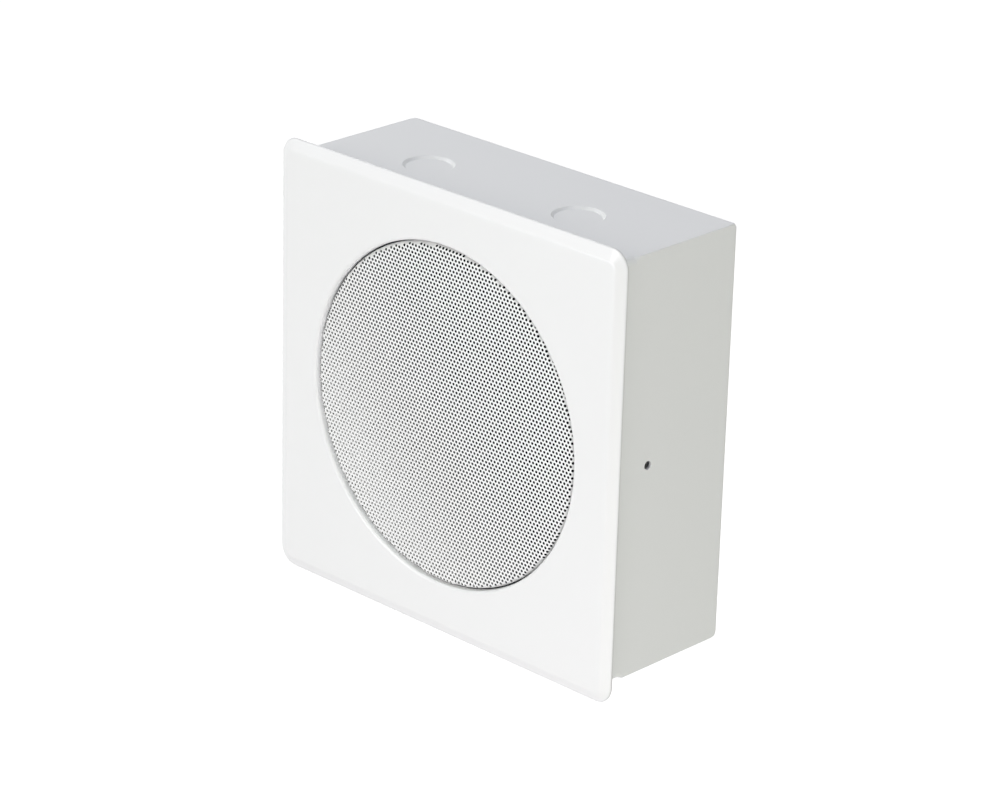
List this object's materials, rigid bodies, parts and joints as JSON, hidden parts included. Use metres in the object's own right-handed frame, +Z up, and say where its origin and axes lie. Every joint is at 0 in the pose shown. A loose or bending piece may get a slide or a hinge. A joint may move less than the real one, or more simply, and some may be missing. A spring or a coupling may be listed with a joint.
{
  "type": "wall speaker",
  "caption": "Square wall loudspeaker: a bevelled white steel front panel with a round perforated grille on a folded steel back box with pressed knock-outs.",
  "frame": {"origin": "centre of the back face of the box, which lies on the wall", "axes": "+X to the right seen from the front, +Y out of the back into the wall, +Z up; the grille faces -Y"},
  "size_m": [0.216, 0.0832, 0.216],
  "materials": {
    "box_paint": "fine smooth white powder coat, satin",
    "panel_paint": "smooth white powder coat, semi-gloss",
    "grille_paint": "white powder coat over perforated steel",
    "zinc_steel": "bright zinc plate",
    "plated_sheet": "zinc coated sheet",
    "black_cloth": "thin black woven cloth",
    "black_foam": "closed cell foam",
    "card": "pressed black card",
    "frame_paint": "black paint",
    "black_rubber": "matt",
    "paper": "black paper pulp",
    "spider_cloth": "resin dipped cloth",
    "former_foil": "thin foil",
    "copper_wire": "enamelled copper wire",
    "ferrite": "dark grey ceramic",
    "board": "brown laminated board",
    "brass": "plain",
    "core_steel": "varnished stack of sheets",
    "winding_tape": "yellow tape over the winding",
    "block_plastic": "ivory moulding",
    "red_lead": "red insulation",
    "black_lead": "black insulation"
  },
  "bodies": {
    "root": {"back_box": "box_paint", "front_panel": "panel_paint", "panel_studs": "zinc_steel", "bracket_left": "plated_sheet", "bracket_right": "plated_sheet", "clinch_nuts": "zinc_steel", "grille": "grille_paint", "grille_cloth": "black_cloth", "foam_gasket": "black_foam", "spacer_sleeves": "zinc_steel", "baffle_plate": "plated_sheet", "stud_washers": "zinc_steel", "stud_nuts": "zinc_steel", "driver_gasket": "card", "driver_frame": "frame_paint", "driver_screws": "zinc_steel", "surround": "black_rubber", "cone": "paper", "dust_cap": "paper", "spider": "spider_cloth", "coil_former": "former_foil", "coil_winding": "copper_wire", "front_plate": "zinc_steel", "magnet": "ferrite", "pole_yoke": "zinc_steel", "terminal_board": "board", "terminal_tags": "brass", "box_studs": "zinc_steel", "transformer_core": "core_steel", "transformer_winding": "winding_tape", "transformer_strap": "plated_sheet", "transformer_nuts": "zinc_steel", "terminal_block": "block_plastic", "block_clamps": "brass", "block_screws": "zinc_steel", "block_nut": "zinc_steel", "earth_nuts": "zinc_steel", "earth_washer": "zinc_steel", "transformer_leads": "red_lead", "driver_leads": "black_lead"}
  },
  "joints": []
}
